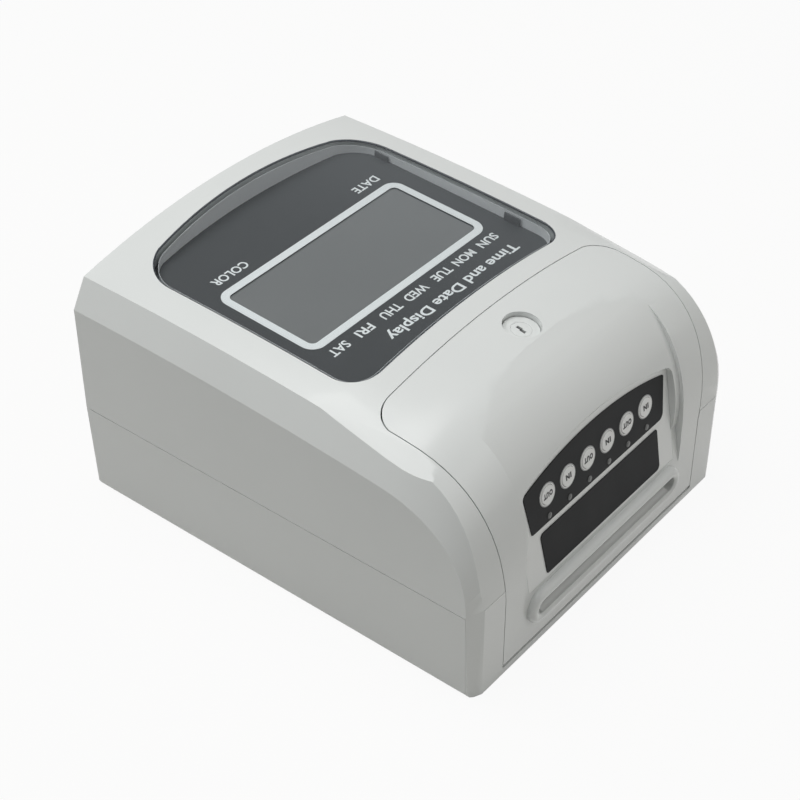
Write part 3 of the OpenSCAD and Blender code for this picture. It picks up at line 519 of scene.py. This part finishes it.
def roundLine(points, look):  # a closed round line through the points, as a mesh
    curve = bpy.data.curves.new("line", "CURVE")
    curve.dimensions = "3D"
    curve.bevel_depth = look["radius"]
    curve.bevel_resolution = look["steps"]
    spline = curve.splines.new("POLY")
    spline.points.add(len(points) - 1)
    for spot, point in zip(spline.points, points):
        spot.co = (*point, 1)
    spline.use_cyclic_u = True
    return meshOf(curve, look["weld"])


def walk(edges):  # the points along one closed loop of edges
    left = set(edges)
    edge = edges[0]
    here = edge.verts[1]
    points = []
    while edge:
        left.discard(edge)
        points.append(here.co.copy())
        edge = next((e for e in here.link_edges if e in left), None)
        here = edge.other_vert(here) if edge else here
    return points


def onTopRim(edge):  # between a steep wall and the face that looks up
    if len(edge.link_faces) != 2:
        return False
    wall, top = sorted(edge.link_faces, key=lambda face: abs(face.normal.z))
    return abs(wall.normal.z) < lensRimShade["wallSlope"] and top.normal.z > lensRimShade["topSlope"]


solid = bmesh.new()
solid.from_mesh(nodes["lens"].data)
bmesh.ops.remove_doubles(solid, verts=solid.verts[:], dist=weldGap)
solid.normal_update()
liner = solid.copy()
rim = [edge for edge in solid.edges if onTopRim(edge)]
points = [point - Vector((0, 0, lensRimShade["lower"])) for point in walk(rim)]
solid.free()
addPiece("lens_edge_shade", roundLine(points, lensRimShade), "rimShade", "case", True)
print("lens edge points:", len(points), "of", len(rim))

# pale grey liner on the inside of the lens's side walls: painted light for the light seen in the clear
# walls; sizes in metres
linerLook = {"gap": 0.00004, "thick": 0.0001, "slope": 0.3, "middle": 0.122}
heart = Vector((0, slotEnd + linerLook["middle"], 0))


def looksInwards(face):
    inwards = (heart - face.calc_center_median()) * Vector((1, 1, 0))
    return abs(face.normal.z) <= linerLook["slope"] and face.normal.dot(inwards) >= 0


outside = [face for face in liner.faces if not looksInwards(face)]
bmesh.ops.delete(liner, geom=outside, context="FACES")
for vert in liner.verts:
    vert.co += vert.normal * linerLook["gap"]
bmesh.ops.solidify(liner, geom=liner.faces[:], thickness=-linerLook["thick"])
print("liner faces:", len(liner.faces))
shadeSoftly(addPiece("lens_light_liner", liner, "linerLight", "case", True))

# printed words: text, where it starts, base line, length, capital height
faceWords = [
    ("SUN", 51.4, 94.2, 10.8, 4.0), ("MON", 36.6, 94.2, 12.0, 4.0), ("TUE", 21.6, 94.2, 10.2, 4.0),
    ("WED", 6.5, 94.2, 12.2, 4.0), ("THU", -9.4, 94.2, 10.8, 4.0), ("FRI", -26.0, 94.2, 8.6, 4.0),
    ("SAT", -40.0, 94.2, 9.8, 4.0), ("Time and Date Display", 51.2, 84.4, 79.0, 4.6),
    ("DATE", 50.4, 154.5, 14.2, 4.0), ("COLOR", -29.0, 154.5, 18.6, 4.0),
]
for text, x, y, wide, high in faceWords:
    shape = letters(text, (wide, high), letterLook)
    putAt(shape, onFace(x, y, 0))
    addPiece("print_" + text.split()[0].lower(), shape, "whiteInk", "case")

# buttons: a lathed cap with a shallow dish, its word, a white bezel and a grey ring on the label
keyLook = {
    "pitch": 12.85, "v": 32.4, "steps": 48, "wordHigh": 2.2, "wordAt": 0.86, "rimUnder": 0.38,
    "profile": [
        (0, -2.7), (4.7, -2.7), (4.7, -1.7), (3.84, -1.7), (3.84, 0.62), (3.81, 0.78), (3.72, 0.87),
        (3.58, 0.9), (3.3, 0.88), (2.8, 0.84), (0, 0.82),
    ],
}
keyWords = [("OUT", 5.5), ("IN", 3.4)]  # in turn along the row, with their lengths
keyLetters = {**letterLook, "weight": 0.06, "spread": 1.2}
keyRims = {  # inner and outer radius, top, finish and slot
    "bezel": (4.02, 4.44, 0.55, "keyWhite", "key_plastic"),
    "ring": (4.45, 4.85, 0.46, "ringGrey", "label_black"),
}
keyCount = 6
seamGap = 1e-4  # the two ends of a turned or wrapped shape meet within this, in millimetres


def alongRow(i):  # where button i stands across the panel
    return (i - (keyCount + 1) / 2) * keyLook["pitch"]


def lathe(profile, steps, closed=False):
    shape = bmesh.new()
    ring = [shape.verts.new((r, 0, z)) for r, z in profile]
    following = ring[1:] + ring[:1] if closed else ring[1:]
    edges = [shape.edges.new(pair) for pair in zip(ring, following)]
    bmesh.ops.spin(shape, geom=ring + edges, cent=(0, 0, 0), axis=(0, 0, 1), angle=2 * math.pi,
                   steps=steps, use_merge=True)
    bmesh.ops.remove_doubles(shape, verts=shape.verts[:], dist=seamGap)
    return shape


for i in range(1, keyCount + 1):
    x = alongRow(i)
    shape = lathe(keyLook["profile"], keyLook["steps"])
    putAt(shape, onPanel(x, keyLook["v"], 0))
    cap = addPiece(f"button_cap_{i}", shape, "keyWhite", f"button_{i}", True)
    shadeSoftly(cap)
    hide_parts(f"key_{i}")
    text, wide = keyWords[(i - 1) % len(keyWords)]
    high = keyLook["wordHigh"]
    shape = letters(text, (wide, high), keyLetters)
    centred = Matrix.Translation((-wide / 2, -high / 2, 0))
    putAt(shape, onPanel(x, keyLook["v"], keyLook["wordAt"]) @ centred)
    addPiece(f"button_word_{i}", shape, "blackInk", f"button_{i}")
    for rim, (inner, outer, top, finish, slot) in keyRims.items():
        under = keyLook["rimUnder"]
        shape = lathe([(inner, under), (outer, under), (outer, top), (inner, top)], keyLook["steps"], True)
        putAt(shape, onPanel(x, keyLook["v"], 0))
        addPiece(f"button_{rim}_{i}", shape, finish, "door_unit")
print("prints and buttons made")


def block(size, at, radius=0.2):  # a box with rounded edges, standing on the given point
    shape = bmesh.new()
    bmesh.ops.create_cube(shape, size=1)
    bmesh.ops.scale(shape, vec=size, verts=shape.verts[:])
    bmesh.ops.bevel(shape, geom=shape.edges[:], offset=radius, segments=2, profile=0.5, affect="EDGES",
                    material=-1)
    bmesh.ops.translate(shape, vec=(at[0], at[1], at[2] + size[2] / 2), verts=shape.verts[:])
    return shape


def joined(shapes):
    whole = bmesh.new()
    carrier = bpy.data.meshes.new("carrier")
    for shape in shapes:
        shape.to_mesh(carrier)
        shape.free()
        whole.from_mesh(carrier)
    bpy.data.meshes.remove(carrier)
    return whole


# pale ramp on the floor of the card mouth, under the card's lane; its slope runs between two points
rampLook = {"half": 43.0, "under": 16.75, "from": (-1.9, 16.84), "to": (0.9, 17.6), "end": 9.5, "steps": 8}
(startY, startZ), (endY, endZ) = rampLook["from"], rampLook["to"]
outline = [(startY, rampLook["under"])]
for i in range(rampLook["steps"] + 1):
    share = i / rampLook["steps"]
    climb = share * share * (3 - 2 * share)  # leaves the lip and meets the floor without a crease
    outline.append((startY + (endY - startY) * share, startZ + (endZ - startZ) * climb))
outline += [(rampLook["end"], endZ), (rampLook["end"], rampLook["under"])]
shape = bmesh.new()
side = shape.faces.new([shape.verts.new((-rampLook["half"], y, z)) for y, z in outline])
grown = bmesh.ops.extrude_face_region(shape, geom=[side], use_keep_orig=True)["geom"]
far = [item for item in grown if isinstance(item, bmesh.types.BMVert)]
bmesh.ops.translate(shape, vec=(2 * rampLook["half"], 0, 0), verts=far)
putAt(shape, fromSlotEnd)
shadeSoftly(addPiece("mouth_ramp", shape, "chuteWhite", "door_unit", True))

# black blocks deep in the lock's stepped keyway: painted shade for the dark of the deep slot
lockLook = {
    "y": 42.7, "z": 102.57, "tilt": 7.5, "low": -7.9, "high": -2.9,
    "shadeSize": (1.22, 2.3), "round": 0.1, "shadeSpots": [(-0.25, -1.0), (0.25, 1.0)],
}
tilt = Matrix.Rotation(math.radians(lockLook["tilt"]), 4, "X")
onLock = fromSlotEnd @ Matrix.Translation((0, lockLook["y"], lockLook["z"])) @ tilt
shadeBlockSize = (*lockLook["shadeSize"], lockLook["high"] - lockLook["low"])
shape = joined([block(shadeBlockSize, (*at, lockLook["low"]), lockLook["round"]) for at in lockLook["shadeSpots"]])
putAt(shape, onLock)
shadeSoftly(addPiece("lock_slot_shade", shape, "blackMoulding", "lock_unit", True))

# domed lights under the buttons
lightLook = {
    "v": 23.1, "steps": 24,
    "profile": [
        (0, 0.1), (1.08, 0.1), (1.08, 0.41), (1.32, 0.41), (1.28, 0.52), (1.05, 0.68), (0.65, 0.79),
        (0, 0.83),
    ],
}
for i in range(1, keyCount + 1):
    shape = lathe(lightLook["profile"], lightLook["steps"])
    putAt(shape, onPanel(alongRow(i), lightLook["v"], 0))
    addPiece(f"light_dome_{i}", shape, "lightPipe", "door_unit", True)
print("ramp, wards and lights made")

# parts of the main board, in millimetres from the middle of its near edge, on its upper face
boardSpot = {"y": 64, "z": 63.6}
chips = [
    {"at": (0, 36), "size": (17, 17, 1.8), "legs": 12, "sides": 4},
    {"at": (-29, 19), "size": (17.6, 7.4, 2.6), "legs": 10, "sides": 2},
]
chipLook = {
    "lift": 0.15, "round": 0.3, "rowShort": 2, "legWide": 0.45, "legThick": 0.2, "legRound": 0.05,
    "bend": 0.45, "shoulder": 0.6, "shoulderOut": 0.2, "shinOut": 0.5, "foot": 0.8, "footOut": 0.85,
}
turned = {  # lathed parts: where they stand and their profiles
    "can_sleeves": {
        "at": [(24, 30), (34, 30)],
        "profile": [
            (0, 0), (3.6, 0), (3.85, 0.5), (3.7, 1.4), (3.95, 1.9), (3.95, 11.3), (3.8, 11.7), (3.3, 11.8),
            (3.3, 11.5), (0, 11.5),
        ],
    },
    "can_tops": {
        "at": [(24, 30), (34, 30)],
        "profile": [(0, 11.55), (3.25, 11.55), (3.25, 11.85), (0, 11.8)],
    },
    "coin_cell": {
        "at": [(-30, 38)],
        "profile": [(0, 0), (7.2, 0), (7.9, 0.5), (7.9, 3.2), (7.5, 3.7), (6.6, 3.9), (0, 3.9)],
    },
}
turnedSteps = 40
plugs = [
    {"at": (32, 56), "size": (23.6, 7.6, 6.6), "ways": 8},
    {"at": (-25, 55), "size": (29.6, 5.6, 8.6), "ways": 12},
]
plugLook = {
    "wall": 1.0, "floor": 2.0, "rowShort": 5, "pin": 0.64, "pinUnder": 0.5, "pinShort": 1, "pinRound": 0.1,
}


def chipLegs(chip):
    look = chipLook
    wide, deep, high = chip["size"]
    twoSided = chip["sides"] == 2
    reach = (deep if twoSided else wide) / 2
    row = (wide if twoSided else deep) - look["rowShort"]
    bend = high * look["bend"]
    broad, thick = look["legWide"], look["legThick"]
    parts = [  # out of the chip, down to the board, along the board: size, reach and height
        ((look["shoulder"], broad, thick), look["shoulderOut"], bend),
        ((thick, broad, bend + thick), look["shinOut"], 0),
        ((look["foot"], broad, thick), look["footOut"], 0),
    ]
    legs = []
    for side in range(chip["sides"]):
        angle = math.pi * 2 * side / chip["sides"] + (math.pi / 2 if twoSided else 0)
        turn = Matrix.Rotation(angle, 4, "Z")
        for i in range(chip["legs"]):
            along = row * (i / (chip["legs"] - 1) - 0.5)
            for size, out, height in parts:
                leg = block(size, (reach + out, along, height), look["legRound"])
                putAt(leg, turn)
                bmesh.ops.translate(leg, vec=(*chip["at"], 0), verts=leg.verts[:])
                legs.append(leg)
    return legs


def turnedParts(look):
    shapes = []
    for spot in look["at"]:
        shape = lathe(look["profile"], turnedSteps)
        bmesh.ops.translate(shape, vec=(*spot, 0), verts=shape.verts[:])
        shapes.append(shape)
    return shapes


def plugShell(plug):  # two long walls, a floor and two ends
    wide, deep, high = plug["size"]
    x, y = plug["at"]
    wall = plugLook["wall"]
    shell = [block((wide, wall, high), (x, y + s * (deep / 2 - wall / 2), 0)) for s in (-1, 1)]
    shell.append(block((wide, deep, plugLook["floor"]), (x, y, 0)))
    shell += [block((wall, deep, high), (x + s * (wide / 2 - wall / 2), y, 0)) for s in (-1, 1)]
    return shell


def plugPins(plug):
    wide, deep, high = plug["size"]
    x, y = plug["at"]
    size = (plugLook["pin"], plugLook["pin"], high - plugLook["pinShort"])
    pins = []
    for i in range(plug["ways"]):
        across = (wide - plugLook["rowShort"]) * (i / (plug["ways"] - 1) - 0.5)
        pins.append(block(size, (x + across, y, plugLook["pinUnder"]), plugLook["pinRound"]))
    return pins


chipBlocks = [block(chip["size"], (*chip["at"], chipLook["lift"]), chipLook["round"]) for chip in chips]
boardPieces = {  # finish, slot and shapes
    "chips": ("blackMoulding", "black_plastic", chipBlocks),
    "chip_legs": ("screwZinc", "steel", [leg for chip in chips for leg in chipLegs(chip)]),
    "can_sleeves": ("cellWrap", "battery_wrap", turnedParts(turned["can_sleeves"])),
    "can_tops": ("motorCan", "motor_metal", turnedParts(turned["can_tops"])),
    "coin_cell": ("plateSteel", "lock_metal", turnedParts(turned["coin_cell"])),
    "plugs": ("acetal", "pulley_plastic", [part for plug in plugs for part in plugShell(plug)]),
    "plug_pins": ("screwZinc", "steel", [pin for plug in plugs for pin in plugPins(plug)]),
}
onBoard = fromSlotEnd @ Matrix.Translation((0, boardSpot["y"], boardSpot["z"]))
for name, (finish, slot, shapes) in boardPieces.items():
    shape = joined(shapes)
    putAt(shape, onBoard)
    piece = addPiece(name, shape, finish, "case", True)
    shadeSoftly(piece)
    if name == "chips":
        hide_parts("board_parts")

# clips that hold the lens, inside its side walls: how far along, length, height
clips = [(92.0, 8.0, 3.8), (159.4, 7.4, 2.8)]
clipLook = {"x": 61.9, "thick": 0.5, "round": 0.12}
for i, (along, length, high) in enumerate(clips):
    for side, name in ((1, "right"), (-1, "left")):
        shape = block((clipLook["thick"], length, high), (0, 0, 0), clipLook["round"])
        putAt(shape, onFace(side * clipLook["x"], along, 0))
        addPiece(f"lens_clip_{name}_{i + 1}", shape, "clipGrey", "case", True)

# lead screw with a double thread
screwLook = {
    "y": 104, "z": 40, "from": -57.5, "to": 70.0, "threadFrom": -50.0, "threadTo": 52.0, "fade": 2.0,
    "radius": 3.0, "depth": 0.45, "lead": 8.0, "starts": 2, "sharpness": 1.1, "rows": 510, "sides": 36,
}


def within(value):
    return min(1, max(0, value))


shape = bmesh.new()
bmesh.ops.create_grid(shape, x_segments=screwLook["rows"], y_segments=screwLook["sides"], size=0.5)
for vert in shape.verts:
    x = screwLook["from"] + (vert.co.x + 0.5) * (screwLook["to"] - screwLook["from"])
    turn = (vert.co.y + 0.5) * 2 * math.pi
    wave = math.cos(screwLook["starts"] * (2 * math.pi * x / screwLook["lead"] - turn))
    cut = within(min(x - screwLook["threadFrom"], screwLook["threadTo"] - x) / screwLook["fade"])
    r = screwLook["radius"] - screwLook["depth"] * cut * within(0.5 + screwLook["sharpness"] * wave)
    vert.co = (x, r * math.cos(turn), r * math.sin(turn))
bmesh.ops.remove_doubles(shape, verts=shape.verts[:], dist=seamGap)
bmesh.ops.holes_fill(shape, edges=[e for e in shape.edges if e.is_boundary], sides=0)
putAt(shape, fromSlotEnd @ Matrix.Translation((0, screwLook["y"], screwLook["z"])))
screw = addPiece("screw_thread", shape, "rodSteel", "screw_unit", True)
shadeSoftly(screw)
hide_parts("lead_screw")
print("board parts and lead screw made")

# pale floor that the camera and glossy surfaces see as nearly white
floorLook = {"size": 6.0, "colour": (0.62, 0.612, 0.585, 1), "rough": 0.9, "shine": 0.1, "glow": 0.93}
shape = bmesh.new()
bmesh.ops.create_grid(shape, x_segments=1, y_segments=1, size=floorLook["size"])
floorData = bpy.data.meshes.new("floor")
shape.to_mesh(floorData)
shape.free()
floor = bpy.data.objects.new("floor", floorData)
bpy.context.scene.collection.objects.link(floor)
floorFinish, wire, shader = newFinish("floorPaper")
setValues(shader, {"Base Color": floorLook["colour"], "Roughness": floorLook["rough"]})
setValues(shader, {"Specular IOR Level": floorLook["shine"]})
path = wire.add("LightPath")
seen = path + path.beside("Is Glossy Ray") + path.beside("Is Transmission Ray")
share = wire.sum("MINIMUM", seen, 1.0) * floorLook["glow"]
glow = wire.add("Emission", None, {"Color": (1, 1, 1, 1), "Strength": 1.0})
paper = wire.add("MixShader", None, {0: share, 1: Wire(wire.tree, shader.outputs[0]), 2: glow})
paper.into(floorFinish.node_tree.nodes["Material Output"], "Surface")
floorData.materials.append(floorFinish)

# white surroundings, dim as a light, brighter in reflections
worldLook = {"light": 0.14, "shine": 0.38}
world = bpy.data.worlds.new("studio")
world.use_nodes = True
bpy.context.scene.world = world
backdrop = world.node_tree.nodes["Background"]
backdrop.inputs["Color"].default_value = (1, 1, 1, 1)
path = Wire(world.node_tree).add("LightPath")
inView = path * (1 - worldLook["light"])
inGloss = path.beside("Is Glossy Ray") * worldLook["shine"]
(worldLook["light"] + inView + inGloss).into(backdrop, "Strength")

lamps = {
    "over": {"at": (-0.22, 0.32, 1.17), "to": (0, 0.02, 0.05), "size": 1.0, "power": 12.0,
             "tint": (0.99, 1, 0.995)},
    "front": {"at": (0.85, -1.2, 0.88), "to": (0, 0, 0.05), "size": 1.6, "power": 6.2,
              "tint": (1, 0.99, 0.955)},
}
for name, look in lamps.items():
    light = bpy.data.lights.new(name, "AREA")
    light.energy = look["power"]
    light.color = look["tint"]
    light.size = look["size"]
    lamp = bpy.data.objects.new(name, light)
    lamp.location = look["at"]
    lamp.rotation_euler = (Vector(look["to"]) - Vector(look["at"])).to_track_quat("-Z", "Y").to_euler()
    bpy.context.scene.collection.objects.link(lamp)

shot = {
    "at": (-0.4634, -0.3669, 0.5146), "turn": (51.3, 0.0, -51.3), "lens": 85.3, "sensor": 36, "near": 0.01,
}
camera = bpy.data.objects.new("camera", bpy.data.cameras.new("camera"))
camera.location = shot["at"]
camera.rotation_euler = [math.radians(a) for a in shot["turn"]]
camera.data.lens = shot["lens"]
camera.data.sensor_width = shot["sensor"]
camera.data.clip_start = shot["near"]
bpy.context.scene.collection.objects.link(camera)
bpy.context.scene.camera = camera
bpy.context.scene.view_settings.view_transform = "Standard"
print("stage, light and camera set")
